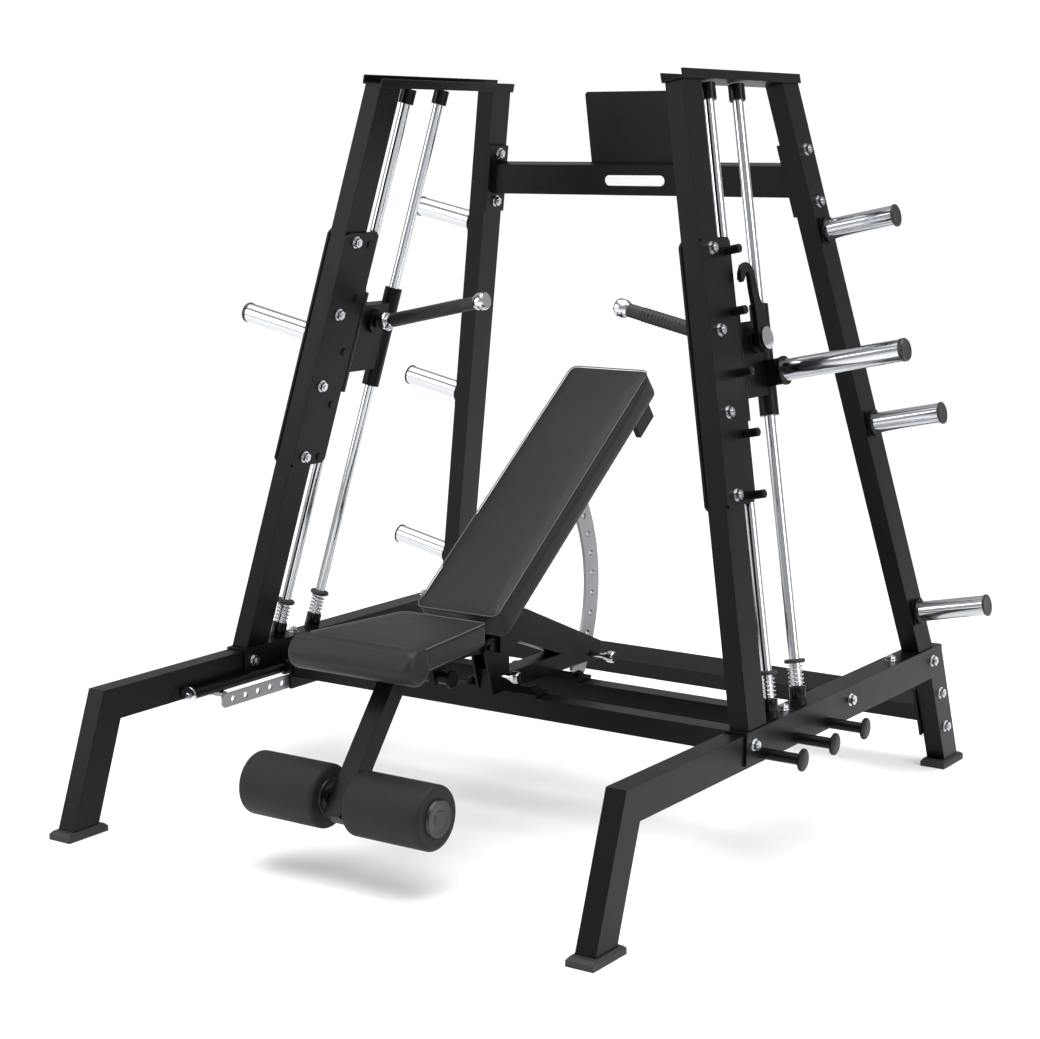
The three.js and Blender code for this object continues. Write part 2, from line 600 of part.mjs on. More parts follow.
// ---- carriage, handle, hook and weight sleeve ----
function carriage(sleeve) {
  const tubes = [];
  const bores = [];
  for (const y of [ROD.frontY, ROD.rearY]) {
    const a = towerPoint(rodY(y, CARRIAGE.low), CARRIAGE.low, 0);
    const b = towerPoint(rodY(y, CARRIAGE.high), CARRIAGE.high, 0);
    tubes.push(rod(a, b, CARRIAGE.tubeR, 20));
    const c = towerPoint(rodY(y, CARRIAGE.low - 9), CARRIAGE.low - 9, 0);
    const d = towerPoint(rodY(y, CARRIAGE.high + 9), CARRIAGE.high + 9, 0);
    bores.push(rod(c, d, ROD.r + 0.4, 18));
  }
  const low = CARRIAGE.webLow;
  const high = CARRIAGE.webHigh;
  const web = prism([
    [rodY(ROD.frontY, low) + 8, low], [rodY(ROD.rearY, low) - 8, low],
    [rodY(ROD.rearY, high) - 8, high], [rodY(ROD.frontY, high) + 8, high],
  ], -14, 14, TOWER_PLANE);
  const boss = rod(towerPoint(AXLE.y, AXLE.v, -24), towerPoint(AXLE.y, AXLE.v, 24), 30);
  bores.push(rod(towerPoint(AXLE.y, AXLE.v, -30), towerPoint(AXLE.y, AXLE.v, 30), AXLE.r + 0.4));
  const stub = prism([
    [sleeve.y - 30, sleeve.v - 30], [sleeve.y + 30, sleeve.v - 30],
    [sleeve.y + 30, sleeve.v + 30], [sleeve.y - 30, sleeve.v + 30],
  ], 10, SLEEVE.start - GAP, TOWER_PLANE);
  return cut(join(...tubes, web, boss, stub), ...bores);
}

function weightSleeve(sleeve) {
  const a = towerPoint(sleeve.y, sleeve.v, SLEEVE.start);
  const length = sleeve.end - SLEEVE.start;
  return turned(a, towerPoint(sleeve.y, sleeve.v, 500), [
    [0, 0], [33, 0], [33, 8], [SLEEVE.r, 8], [SLEEVE.r, length - 12], [26, length - 12],
    [26, length - 2], [24, length], [0, length],
  ], 24);
}

// Safety hook with its axle; it turns with the handle.
function hook() {
  const y = AXLE.y;
  const v = AXLE.v;
  const outline = [
    [y - 30, v - 14], [y - 12, v - 30], [y + 14, v - 30], [y + 30, v - 12], [y + 30, v + 14],
    [y + 18, v + 40],
    [y + 2, v + 110], [y - 2, v + 150], [y - 12, v + 166], [y - 30, v + 173], [y - 48, v + 168],
    [y - 62, v + 152],
    [y - 67, v + 138], [y - 58, v + 130], [y - 48, v + 138], [y - 40, v + 150],
    [y - 30, v + 152], [y - 24, v + 142],
    [y - 26, v + 110], [y - 24, v + 60], [y - 28, v + 20],
  ];
  const blade = prism(outline, 35, 46, TOWER_PLANE);
  const axle = rod(towerPoint(y, v, -30), towerPoint(y, v, 36), AXLE.r);
  const disc = turned(towerPoint(y, v, 45), towerPoint(y, v, 60), [[0, 0], [25, 0], [25, 5],
    [23, 7], [0, 7]]);
  return join(blade, axle, disc);
}

function handle() {
  const a = towerPoint(AXLE.y, AXLE.v, -30 - GAP);
  const b = towerPoint(68.4, 1287.1, -311.2);
  const length = a.distanceTo(b);
  const stop = prism([
    [AXLE.y - 50, AXLE.v - 50], [AXLE.y + 50, AXLE.v - 50], [AXLE.y + 50, AXLE.v + 50],
    [AXLE.y - 50, AXLE.v + 50],
  ], -30 - GAP, 60, TOWER_PLANE);
  const back = a.clone().add(a.clone().sub(b).setLength(20));
  const bar = turned(back, b, [
    [0, 0], [24, 0], [24, 46], [21, 48], [14, 48], [14, 66], [17.5, 68], [16.5, length * 0.5],
    [15.5, length - 22],
    [20, length - 10], [22, length - 2], [22, length + 14], [19, length + 20], [0, length + 20],
  ], 20);
  return cut(bar, stop);
}

// ---- assembly ----
const machine = new THREE.Group();
machine.name = 'smith_machine';

function place(name, geometry, finish) {
  const [color, roughness, metalness] = FINISHES[finish];
  const material = new THREE.MeshStandardMaterial({ color, roughness, metalness });
  const mesh = new THREE.Mesh(geometry, material);
  mesh.name = name;
  machine.add(mesh);
}

function placePair(name, geometry, finish) {
  place(`right_${name}`, geometry, finish);
  place(`left_${name}`, mirrored(geometry), finish);
}

placePair('base_frame', baseFrame(), 'frame_black');
placePair('front_foot', foot(FOOT.frontY), 'rubber');
placePair('rear_foot', foot(FOOT.rearY), 'rubber');
placePair('saddle', saddle(), 'frame_black');
placePair('front_post', post(FRONT_POST), 'frame_black');
placePair('rear_post', post(REAR_POST), 'frame_black');
placePair('top_channel', topChannel(), 'frame_black');
placePair('catch_rack', catchRack(), 'frame_black');
placePair('front_rod', guideRod(ROD.frontY), 'chrome');
placePair('rear_rod', guideRod(ROD.rearY), 'chrome');
placePair('front_spring', spring(ROD.frontY), 'chrome');
placePair('rear_spring', spring(ROD.rearY), 'chrome');
placePair('front_bumper', bumperRing(ROD.frontY), 'rubber');
placePair('rear_bumper', bumperRing(ROD.rearY), 'rubber');
placePair('low_horn', storageHorn(HORN.levels[0]), 'chrome');
placePair('middle_horn', storageHorn(HORN.levels[1]), 'chrome');
placePair('high_horn', storageHorn(HORN.levels[2]), 'chrome');
placePair('slide_rail', slideRail(), 'gloss_black');
placePair('strip_bar', stripBar(), 'plate_silver');
place('right_carriage', carriage(SLEEVE.right), 'frame_black');
place('left_carriage', mirrored(carriage(SLEEVE.left)), 'frame_black');
place('right_weight_sleeve', weightSleeve(SLEEVE.right), 'chrome');
place('left_weight_sleeve', mirrored(weightSleeve(SLEEVE.left)), 'chrome');
placePair('hook', hook(), 'frame_black');
placePair('handle', handle(), 'rubber');
placePair('roller', roller(), 'foam');
place('rear_crossmember', rearCrossmember(), 'frame_black');
place('upper_crossbeam', upperCrossbeam(), 'frame_black');
place('rear_panel', rearPanel(), 'frame_black');
place('bench_runner', benchRunner(), 'frame_black');
place('bench_base', benchBase(), 'frame_black');
place('back_frame', backFrame(), 'frame_black');
place('back_pad', backPad(), 'vinyl');
place('seat_frame', seatFrame(), 'frame_black');
place('seat_pad', seatPad(), 'vinyl');
place('seat_pin', pullPin(at(SEAT_PIN.tip, SEAT_PIN.y, SEAT_PIN.z),
  at(SEAT_PIN.knob, SEAT_PIN.y, SEAT_PIN.z)), 'chrome');
place('recline_pin', pullPin(at(5.6, PIN.y, PIN.z), at(95, PIN.y, PIN.z)), 'chrome');
place('runner_pin', pullPin(at(-639.8, RUNNER_PIN.y, RUNNER_PIN.z),
  at(-560, RUNNER_PIN.y, RUNNER_PIN.z)), 'chrome');

export default machine;
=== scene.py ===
import json
import math

import bmesh
import bpy
from mathutils import Matrix, Vector

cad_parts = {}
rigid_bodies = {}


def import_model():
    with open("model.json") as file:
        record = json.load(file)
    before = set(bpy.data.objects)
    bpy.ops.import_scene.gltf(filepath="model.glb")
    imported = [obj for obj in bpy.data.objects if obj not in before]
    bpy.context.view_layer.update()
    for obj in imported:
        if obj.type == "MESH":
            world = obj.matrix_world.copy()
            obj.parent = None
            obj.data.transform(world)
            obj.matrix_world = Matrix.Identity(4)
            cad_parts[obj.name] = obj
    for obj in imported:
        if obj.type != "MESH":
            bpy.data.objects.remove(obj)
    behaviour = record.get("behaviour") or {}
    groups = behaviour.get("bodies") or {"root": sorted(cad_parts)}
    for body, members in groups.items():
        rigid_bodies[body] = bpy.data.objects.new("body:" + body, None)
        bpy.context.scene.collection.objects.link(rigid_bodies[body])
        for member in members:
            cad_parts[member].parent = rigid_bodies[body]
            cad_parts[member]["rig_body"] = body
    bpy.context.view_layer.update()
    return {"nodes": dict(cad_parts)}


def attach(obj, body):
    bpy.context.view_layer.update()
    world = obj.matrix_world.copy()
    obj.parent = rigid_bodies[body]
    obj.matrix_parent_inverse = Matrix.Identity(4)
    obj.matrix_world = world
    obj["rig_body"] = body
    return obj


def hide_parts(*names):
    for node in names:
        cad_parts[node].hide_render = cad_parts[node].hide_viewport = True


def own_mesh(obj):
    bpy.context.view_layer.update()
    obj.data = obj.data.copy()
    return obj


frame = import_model()
NODES = frame["nodes"]

# ---- the leaning tower plane, as the CAD part has it, in metres ----
LEAN = math.radians(11.965)
SIN, COS = math.sin(LEAN), math.cos(LEAN)
FLOOR_X = 0.77645
ROD_SLOPE = 0.138
DATUM = 0.337
FRONT_ROD_Y, REAR_ROD_Y = -0.1254, 0.011
ROD_R = 0.0125
FRONT_POST_Y, FRONT_POST_SLOPE = -0.2696, 0.1372
REAR_POST_Y, REAR_POST_SLOPE = 0.6182, -0.1598
POST_HALF_DEPTH = 0.0405
AXLE_Y, AXLE_V = 0.058, 1.1615
RECLINE = math.radians(37)
PIVOT = Vector((0, -0.139, 0.494))
# The most that the cloth may move a point of a pad.
PUFF_LIMIT = 0.0013
SIDES = (("left", -1), ("right", 1))


def tower(side, y, v, n):
    """A point of one tower: y along the machine, v up the slope, n outwards."""
    return Vector((side * (FLOOR_X - v * SIN + n * COS), y, v * COS + n * SIN))


def rod_y(y, v):
    return y + ROD_SLOPE * (v - DATUM)


def front_post_y(v):
    """The middle of a front post, v up the slope."""
    return FRONT_POST_Y + FRONT_POST_SLOPE * (v - DATUM) + POST_HALF_DEPTH


def rear_post_y(v):
    """The middle of a rear post, v up the slope."""
    return REAR_POST_Y + REAR_POST_SLOPE * (v - DATUM) + POST_HALF_DEPTH


# ---- colour and material helpers ----
def linear(code):
    """An sRGB hex colour as the linear value a shader socket takes."""
    parts = [int(code[i : i + 2], 16) / 255 for i in (1, 3, 5)]
    return [c / 12.92 if c <= 0.04045 else ((c + 0.055) / 1.055) ** 2.4 for c in parts] + [1.0]


def add(tree, kind, links=None, **settings):
    """Adds a node; settings name its properties or sockets, links give sockets to join."""
    node = tree.nodes.new(kind)
    for key, value in settings.items():
        if hasattr(node, key):
            setattr(node, key, value)
        else:
            node.inputs[key.replace("_", " ")].default_value = value
    for socket, source in (links or {}).items():
        tree.links.new(source, node.inputs[socket])
    return node


def start_material(name, comment):
    material = bpy.data.materials.new(name)
    material["made_of"] = comment
    material.use_nodes = True
    tree = material.node_tree
    shader = next(n for n in tree.nodes if n.type == "BSDF_PRINCIPLED")
    coords = add(tree, "ShaderNodeTexCoord")
    return material, tree, shader, coords.outputs["Object"]


def bumped(tree, height, strength, distance, under=None):
    links = {"Height": height}
    if under is not None:
        links["Normal"] = under
    return add(tree, "ShaderNodeBump", links, Strength=strength, Distance=distance).outputs["Normal"]


def varied(tree, source, low, high):
    """Maps a 0 to 1 pattern onto a range."""
    node = add(tree, "ShaderNodeMapRange", {"Value": source})
    node.inputs["To Min"].default_value = low
    node.inputs["To Max"].default_value = high
    return node.outputs["Result"]


def noise(tree, coords, size_mm, detail=2.0):
    """Noise whose features are about size_mm across."""
    return add(tree, "ShaderNodeTexNoise", {"Vector": coords}, Scale=1000 / size_mm, Detail=detail).outputs[0]


def powder_coat(name, colour, roughness, orange_peel):
    # Baked satin powder coat on steel, with a faint orange peel and softened edges.
    material, tree, shader, coords = start_material(name, "powder coated steel")
    shader.inputs["Base Color"].default_value = linear(colour)
    shader.inputs["Specular IOR Level"].default_value = 0.14
    cloud = noise(tree, coords, 90)
    tree.links.new(varied(tree, cloud, roughness - 0.05, roughness + 0.05), shader.inputs["Roughness"])
    edge = add(tree, "ShaderNodeBevel", samples=4)
    edge.inputs["Radius"].default_value = 0.0018
    peel = noise(tree, coords, 2.2)
    tree.links.new(bumped(tree, peel, orange_peel, 0.0004, edge.outputs["Normal"]), shader.inputs["Normal"])
    return material


def chrome_plate(name, colour, roughness):
    # Polished chrome plate with a very faint haze.
    material, tree, shader, coords = start_material(name, "chrome plated steel")
    shader.inputs["Base Color"].default_value = linear(colour)
    shader.inputs["Metallic"].default_value = 1.0
    haze = noise(tree, coords, 30)
    tree.links.new(varied(tree, haze, roughness - 0.03, roughness + 0.05), shader.inputs["Roughness"])
    return material


def zinc_plate():
    # Zinc plated perforated strip: satin metal with a fine rolled grain along it.
    material, tree, shader, coords = start_material("zinc plated strip", "zinc plated steel")
    shader.inputs["Base Color"].default_value = linear("#8f9194")
    shader.inputs["Metallic"].default_value = 0.85
    stretch = add(tree, "ShaderNodeMapping", {"Vector": coords}, Scale=(1.0, 0.08, 1.0))
    grain = noise(tree, stretch.outputs["Vector"], 1.6)
    tree.links.new(varied(tree, grain, 0.34, 0.5), shader.inputs["Roughness"])
    tree.links.new(bumped(tree, grain, 0.15, 0.0003), shader.inputs["Normal"])
    return material


def rubber(name, colour, roughness, grain_mm):
    # Moulded rubber with a fine matt texture.
    material, tree, shader, coords = start_material(name, "moulded rubber")
    shader.inputs["Base Color"].default_value = linear(colour)
    shader.inputs["Roughness"].default_value = roughness
    grain = noise(tree, coords, grain_mm, 3.0)
    tree.links.new(bumped(tree, grain, 0.35, 0.0006), shader.inputs["Normal"])
    return material


def vinyl():
    # Upholstery vinyl: pebbled grain over a soft, slightly uneven sheen.
    material, tree, shader, coords = start_material("upholstery vinyl", "upholstery vinyl")
    pebble = add(tree, "ShaderNodeTexVoronoi", {"Vector": coords}, Scale=620.0)
    soft = noise(tree, coords, 70, 3.0)
    tint = add(tree, "ShaderNodeMix", {0: soft}, data_type="RGBA")
    tint.inputs["A"].default_value = linear("#12120f")
    tint.inputs["B"].default_value = linear("#191915")
    tree.links.new(tint.outputs["Result"], shader.inputs["Base Color"])
    shader.inputs["Specular IOR Level"].default_value = 0.26
    tree.links.new(varied(tree, soft, 0.44, 0.56), shader.inputs["Roughness"])
    creases = noise(tree, coords, 26, 4.0)
    base = bumped(tree, creases, 0.12, 0.002)
    tree.links.new(bumped(tree, pebble.outputs["Distance"], 0.3, 0.0004, base), shader.inputs["Normal"])
    return material


def foam():
    # Skinned foam rubber: closed skin with small pores.
    material, tree, shader, coords = start_material("skinned foam", "foam rubber")
    pores = noise(tree, coords, 1.3, 4.0)
    tint = add(tree, "ShaderNodeMix", {0: noise(tree, coords, 45, 3.0)}, data_type="RGBA")
    tint.inputs["A"].default_value = linear("#11110e")
    tint.inputs["B"].default_value = linear("#191814")
    tree.links.new(tint.outputs["Result"], shader.inputs["Base Color"])
    shader.inputs["Roughness"].default_value = 0.62
    shader.inputs["Specular IOR Level"].default_value = 0.26
    tree.links.new(bumped(tree, pores, 0.5, 0.0008), shader.inputs["Normal"])
    return material


def plain(name, comment, colour, roughness):
    # A plain, even finish.
    material, tree, shader, coords = start_material(name, comment)
    shader.inputs["Base Color"].default_value = linear(colour)
    shader.inputs["Roughness"].default_value = roughness
    return material


FRAME_BLACK = powder_coat("satin black powder coat", "#060607", 0.38, 0.10)
BENCH_BLACK = powder_coat("bench black powder coat", "#060606", 0.36, 0.10)
GLOSS_BLACK = powder_coat("gloss black paint", "#090909", 0.16, 0.03)
CHROME = chrome_plate("polished chrome", "#c2c5c9", 0.11)
BOLT_ZINC = chrome_plate("bright zinc bolt", "#bcbfc3", 0.22)
ZINC = zinc_plate()
RING_RUBBER = rubber("bumper rubber", "#111111", 0.6, 2.5)
GRIP_RUBBER = rubber("grip rubber", "#0e0e0e", 0.55, 1.5)
FOOT_RUBBER = rubber("foot rubber", "#121212", 0.62, 3.0)
VINYL = vinyl()
FOAM = foam()
END_CAP = plain("moulded end cap", "moulded plastic", "#0f0f0f", 0.35)
# The stitching thread is drawn lighter than the vinyl: partly the real thread, partly a painted highlight
# along the piping edge of the pads.
THREAD_AND_PAINTED_HIGHLIGHT = plain("stitching thread and painted highlight", "polyester thread", "#4c4b45", 0.6)
BADGE = plain("blank badge", "moulded plastic", "#e9e9e7", 0.4)


# ---- mesh helpers ----
def new_object(name, mesh, material, body):
    mesh.materials.clear()
    mesh.materials.append(material)
    piece = bpy.data.objects.new(name.replace(" ", "_"), mesh)
    bpy.context.scene.collection.objects.link(piece)
    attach(piece, body)
    return piece


def smooth_by_angle(mesh, degrees):
    """Smooth shading that keeps edges sharper than the given angle."""
    b = bmesh.new()
    b.from_mesh(mesh)
    for face in b.faces:
        face.smooth = True
    limit = math.radians(degrees)
    for edge in b.edges:
        edge.smooth = len(edge.link_faces) == 2 and edge.calc_face_angle(0.0) < limit
    b.to_mesh(mesh)
    b.free()


def mesh_from(name, points, faces, degrees=32):
    mesh = bpy.data.meshes.new(name)
    mesh.from_pydata([tuple(p) for p in points], [], faces)
    b = bmesh.new()
    b.from_mesh(mesh)
    bmesh.ops.remove_doubles(b, verts=b.verts, dist=1e-6)
    bmesh.ops.recalc_face_normals(b, faces=b.faces)
    b.to_mesh(mesh)
    b.free()
    smooth_by_angle(mesh, degrees)
    return mesh


def turned_mesh(name, start, toward, profile, segments=56):
    """A profile of (radius, distance) turned about the line from start toward a point."""
    axis = (toward - start).normalized()
    across = axis.orthogonal().normalized()
    other = axis.cross(across)
    points, faces = [], []
    rows = len(profile)
    for i in range(segments):
        angle = 2 * math.pi * i / segments
        out = across * math.cos(angle) + other * math.sin(angle)
        points += [start + axis * d + out * r for r, d in profile]
    for i in range(segments):
        a, b = i * rows, (i + 1) % segments * rows
        for k in range(rows - 1):
            quad = [a + k, a + k + 1, b + k + 1, b + k]
            if profile[k][0] == 0:
                quad = [a + k, a + k + 1, b + k + 1]
            elif profile[k + 1][0] == 0:
                quad = [a + k, a + k + 1, b + k]
            faces.append(quad)
    return mesh_from(name, points, faces)


def turned(name, start, toward, profile, material, body, segments=56):
    return new_object(name, turned_mesh(name, start, toward, profile, segments), material, body)


def finished_copy(node, material, body):
    """The CAD node's own shape with its edges welded and its round faces shaded smooth."""
    mesh = NODES[node].data.copy()
    b = bmesh.new()
    b.from_mesh(mesh)
    bmesh.ops.remove_doubles(b, verts=b.verts, dist=1e-5)
    bmesh.ops.dissolve_limit(b, angle_limit=math.radians(0.4), verts=b.verts, edges=b.edges)
    bmesh.ops.triangulate(b, faces=[f for f in b.faces if len(f.verts) > 4])
    b.to_mesh(mesh)
    b.free()
    smooth_by_angle(mesh, 35)
    piece = new_object(node + " finished", mesh, material, body)
    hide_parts(node)
    return piece


def body_of(node):
    return NODES[node]["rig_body"]


# ---- geometry node trees ----
def geometry_tree(name, inputs):
    tree = bpy.data.node_groups.new(name, "GeometryNodeTree")
    tree.interface.new_socket("Geometry", in_out="INPUT", socket_type="NodeSocketGeometry")
    for label, kind in inputs:
        tree.interface.new_socket(label, in_out="INPUT", socket_type=kind)
    tree.interface.new_socket("Geometry", in_out="OUTPUT", socket_type="NodeSocketGeometry")
    return tree, tree.nodes.new("NodeGroupInput"), tree.nodes.new("NodeGroupOutput")


def close_tree(tree, output, geometry, material):
    real = add(tree, "GeometryNodeRealizeInstances", {"Geometry": geometry})
    painted = add(tree, "GeometryNodeSetMaterial", {"Geometry": real.outputs[0], "Material": material})
    tree.links.new(painted.outputs[0], output.inputs["Geometry"])


def coil_tree():
    """A coil spring: turns of round wire about Z."""
    tree, given, output = geometry_tree(
        "coil spring",
        [("Turns", "NodeSocketFloat"), ("Coil radius", "NodeSocketFloat"), ("Height", "NodeSocketFloat"),
         ("Wire radius", "NodeSocketFloat"), ("Material", "NodeSocketMaterial")],
    )
    spiral = add(tree, "GeometryNodeCurveSpiral", {
        "Rotations": given.outputs["Turns"], "Start Radius": given.outputs["Coil radius"],
        "End Radius": given.outputs["Coil radius"], "Height": given.outputs["Height"]}, Resolution=24)
    wire = add(tree, "GeometryNodeCurvePrimitiveCircle", {
        "Radius": given.outputs["Wire radius"]}, Resolution=10)
    swept = add(tree, "GeometryNodeCurveToMesh", {
        "Curve": spiral.outputs[0], "Profile Curve": wire.outputs[0]})
    swept.inputs["Fill Caps"].default_value = True
    close_tree(tree, output, swept.outputs[0], given.outputs["Material"])
    return tree


def rib_tree():
    """Rings spaced along Z, each a fine moulded rib."""
    tree, given, output = geometry_tree(
        "moulded ribs",
        [("Count", "NodeSocketInt"), ("Pitch", "NodeSocketFloat"), ("Radius", "NodeSocketFloat"),
         ("Rib", "NodeSocketFloat"), ("Material", "NodeSocketMaterial")],
    )
    step = add(tree, "ShaderNodeCombineXYZ", {"Z": given.outputs["Pitch"]})
    line = add(tree, "GeometryNodeMeshLine", {"Count": given.outputs["Count"], "Offset": step.outputs[0]})
    ring = add(tree, "GeometryNodeCurvePrimitiveCircle", {
        "Radius": given.outputs["Radius"]}, Resolution=40)
    wire = add(tree, "GeometryNodeCurvePrimitiveCircle", {
        "Radius": given.outputs["Rib"]}, Resolution=8)
    swept = add(tree, "GeometryNodeCurveToMesh", {
        "Curve": ring.outputs[0], "Profile Curve": wire.outputs[0]})
    placed = add(tree, "GeometryNodeInstanceOnPoints", {
        "Points": line.outputs[0], "Instance": swept.outputs[0]})
    close_tree(tree, output, placed.outputs[0], given.outputs["Material"])
    return tree


def bolt_tree():
    """A washer, a hex head and a thread end at each point, turned along the point's way attribute."""
    tree, given, output = geometry_tree(
        "washers and bolts",
        [("Washer radius", "NodeSocketFloat"), ("Head radius", "NodeSocketFloat"),
         ("Head height", "NodeSocketFloat"), ("Material", "NodeSocketMaterial")],
    )
    washer = add(tree, "GeometryNodeMeshCylinder", {
        "Radius": given.outputs["Washer radius"]}, Vertices=32, Depth=0.0018)
    head = add(tree, "GeometryNodeMeshCylinder", {
        "Radius": given.outputs["Head radius"], "Depth": given.outputs["Head height"]}, Vertices=6)
    thread = add(tree, "GeometryNodeMeshCylinder", {
        "Depth": given.outputs["Head height"]}, Vertices=20, Radius=0.0052)
    half = add(tree, "ShaderNodeMath", {0: given.outputs["Head height"]}, operation="MULTIPLY")
    half.inputs[1].default_value = 0.5
    full = add(tree, "ShaderNodeMath", {0: given.outputs["Head height"]}, operation="MULTIPLY")
    full.inputs[1].default_value = 0.8
    parts = add(tree, "GeometryNodeJoinGeometry")
    tree.links.new(washer.outputs["Mesh"], parts.inputs[0])
    for part, level in ((head, half), (thread, full)):
        rise = add(tree, "ShaderNodeCombineXYZ", {"Z": level.outputs[0]})
        moved = add(tree, "GeometryNodeTransform", {
            "Geometry": part.outputs["Mesh"], "Translation": rise.outputs[0]})
        tree.links.new(moved.outputs[0], parts.inputs[0])
    way = add(tree, "GeometryNodeInputNamedAttribute", data_type="FLOAT_VECTOR", Name="way")
    turn = add(tree, "FunctionNodeAlignRotationToVector", {"Vector": way.outputs[0]}, axis="Z")
    placed = add(tree, "GeometryNodeInstanceOnPoints", {
        "Points": given.outputs["Geometry"], "Instance": parts.outputs[0], "Rotation": turn.outputs[0]})
    close_tree(tree, output, placed.outputs[0], given.outputs["Material"])
    return tree


def from_tree(name, tree, values, place, body, points=()):
    """Runs a tree on a few points, bakes the result to a plain mesh and puts it in place."""
    seed = bpy.data.meshes.new(name + " points")
    seed.from_pydata([tuple(p) for p, way in points] or [(0, 0, 0)], [], [])
    if points:
        ways = seed.attributes.new("way", "FLOAT_VECTOR", "POINT")
        ways.data.foreach_set("vector", [c for p, way in points for c in way])
    carrier = bpy.data.objects.new(name + " carrier", seed)
    bpy.context.scene.collection.objects.link(carrier)
    modifier = carrier.modifiers.new("tree", "NODES")
    modifier.node_group = tree
    sockets = {s.name: s.identifier for s in tree.interface.items_tree if s.in_out == "INPUT"}
    for label, value in values.items():
        modifier[sockets[label]] = value
    carrier.update_tag()
    evaluated = carrier.evaluated_get(bpy.context.evaluated_depsgraph_get())
    mesh = bpy.data.meshes.new_from_object(evaluated)
    bpy.data.objects.remove(carrier)
    mesh.transform(place)
    smooth_by_angle(mesh, 40)
    return new_object(name, mesh, values["Material"], body)


def standing(start, toward):
    """A matrix that takes the Z axis onto the line from start toward a point."""
    axis = (toward - start).normalized()
    return Matrix.Translation(start) @ axis.to_track_quat("Z", "Y").to_matrix().to_4x4()


# ---- steelwork ----
def finish_steelwork():
    black = [
        "base_frame", "saddle", "front_post", "rear_post", "top_channel", "catch_rack", "carriage", "hook"]
    for side, sign in SIDES:
        for name in black:
            node = f"{side}_{name}"
            finished_copy(node, FRAME_BLACK, body_of(node))
        finished_copy(f"{side}_strip_bar", ZINC, "frame")
        for name in ("front_foot", "rear_foot"):
            finished_copy(f"{side}_{name}", FOOT_RUBBER, "frame")
    for node in ("rear_crossmember", "upper_crossbeam", "rear_panel"):
        finished_copy(node, FRAME_BLACK, "frame")
    for node in ("bench_runner", "bench_base", "back_frame", "seat_frame"):
        finished_copy(node, BENCH_BLACK, body_of(node))
    plate_sector(bpy.data.objects["back_frame_finished"].data)


def plate_sector(mesh):
    """The hole sector behind the back rest is zinc plated; the tube it is welded to is black."""
    mesh.materials.append(ZINC)
    for polygon in mesh.polygons:
        reach = Vector((0, polygon.center.y - PIVOT.y, polygon.center.z - PIVOT.z))
        slope = math.atan2(reach.z, reach.y)
        thin = abs(polygon.center.x) < 0.0045
        if thin and 0.360 < reach.length < 0.430 and slope < RECLINE + math.radians(2.2):
            polygon.material_index = 1


def shell_profile(radius, length, edge=0.0015):
    """A plain bar with broken edges."""
    return [
        (0, 0), (radius - edge, 0), (radius, edge),
        (radius, length - edge), (radius - edge, length), (0, length)]


def build_rods():
    low, high = 0.352, 1.744
    for side, sign in SIDES:
        for where, y in (("front", FRONT_ROD_Y), ("rear", REAR_ROD_Y)):
            node = f"{side}_{where}_rod"
            a, b = tower(sign, rod_y(y, low), low, 0), tower(sign, rod_y(y, high), high, 0)
            length = (b - a).length
            shaft = turned(node + " shaft", a + (b - a) * 0.02, b, shell_profile(ROD_R, length * 0.955),
                           CHROME, "frame", 48)
            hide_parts(node)
            lower = [(0, 0), (0.0185, 0), (0.019, 0.001), (0.019, 0.026), (0.0175, 0.028), (0, 0.028)]
            upper = [(0, -0.038), (0.018, -0.038), (0.019, -0.037), (0.019, -0.001), (0, -0.001)]
            turned(node + " lower collar", a, b, lower, GLOSS_BLACK, "frame", 40)
            turned(node + " upper collar", b, b + (b - a), upper, GLOSS_BLACK, "frame", 40)
            build_bumper(side, sign, where, y)


def build_bumper(side, sign, where, y):
    """The spring and the rubber ring at the foot of one rod."""
    low, high = 0.3815, 0.4272
    a, b = tower(sign, rod_y(y, low), low, 0), tower(sign, rod_y(y, high), high, 0)
    coil = from_tree(
        f"{side} {where} coil", COIL,
        {"Turns": 5.0, "Coil radius": 0.0158, "Height": (b - a).length, "Wire radius": 0.0019,
         "Material": BOLT_ZINC},
        standing(a, b), "frame")
    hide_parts(f"{side}_{where}_spring")
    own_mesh(coil)
    c, d = tower(sign, rod_y(y, 0.431), 0.431, 0), tower(sign, rod_y(y, 0.441), 0.441, 0)
    r, t = 0.024, (d - c).length
    profile = [(0.013, 0), (r - 0.003, 0), (r, 0.003), (r, t - 0.003), (r - 0.003, t), (0.013, t), (0.013, 0)]
    ring = turned(f"{side} {where} ring", c, d, profile, RING_RUBBER, f"{side}_{where}_ring", 48)
    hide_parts(f"{side}_{where}_bumper")


def build_horns():
    root, end = 0.0233, 0.212
    for side, sign in SIDES:
        for name, v in (("low", 0.4365), ("middle", 0.917), ("high", 1.3945)):
            y = rear_post_y(v)
            a, b = tower(sign, y, v, root), tower(sign, y, v, 0.3)
            sleeve = turned(f"{side} {name} horn sleeve", a, b,
                            [(0, 0.012), (0.025, 0.012),
                             (0.025, end - root - 0.006), (0, end - root - 0.006)],
                            CHROME, "frame", 64)
            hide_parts(f"{side}_{name}_horn")
            turned(f"{side} {name} horn collar", a, b,
                   [(0, 0.004), (0.0315, 0.004), (0.032, 0.005),
                    (0.032, 0.011), (0.031, 0.0125), (0, 0.0125)],
                   FRAME_BLACK, "frame", 64)
            cap = end - root
            turned(f"{side} {name} horn cap", a, b,
                   [(0, cap - 0.0062), (0.0262, cap - 0.0062), (0.027, cap - 0.005), (0.0265, cap - 0.002),
                    (0.024, cap - 0.001), (0.020, cap - 0.0014), (0, cap - 0.0014)],
                   END_CAP, "frame", 64)
            square_plate(f"{side} {name} horn plate", sign, y, v, 0.030, root, root + 0.005)


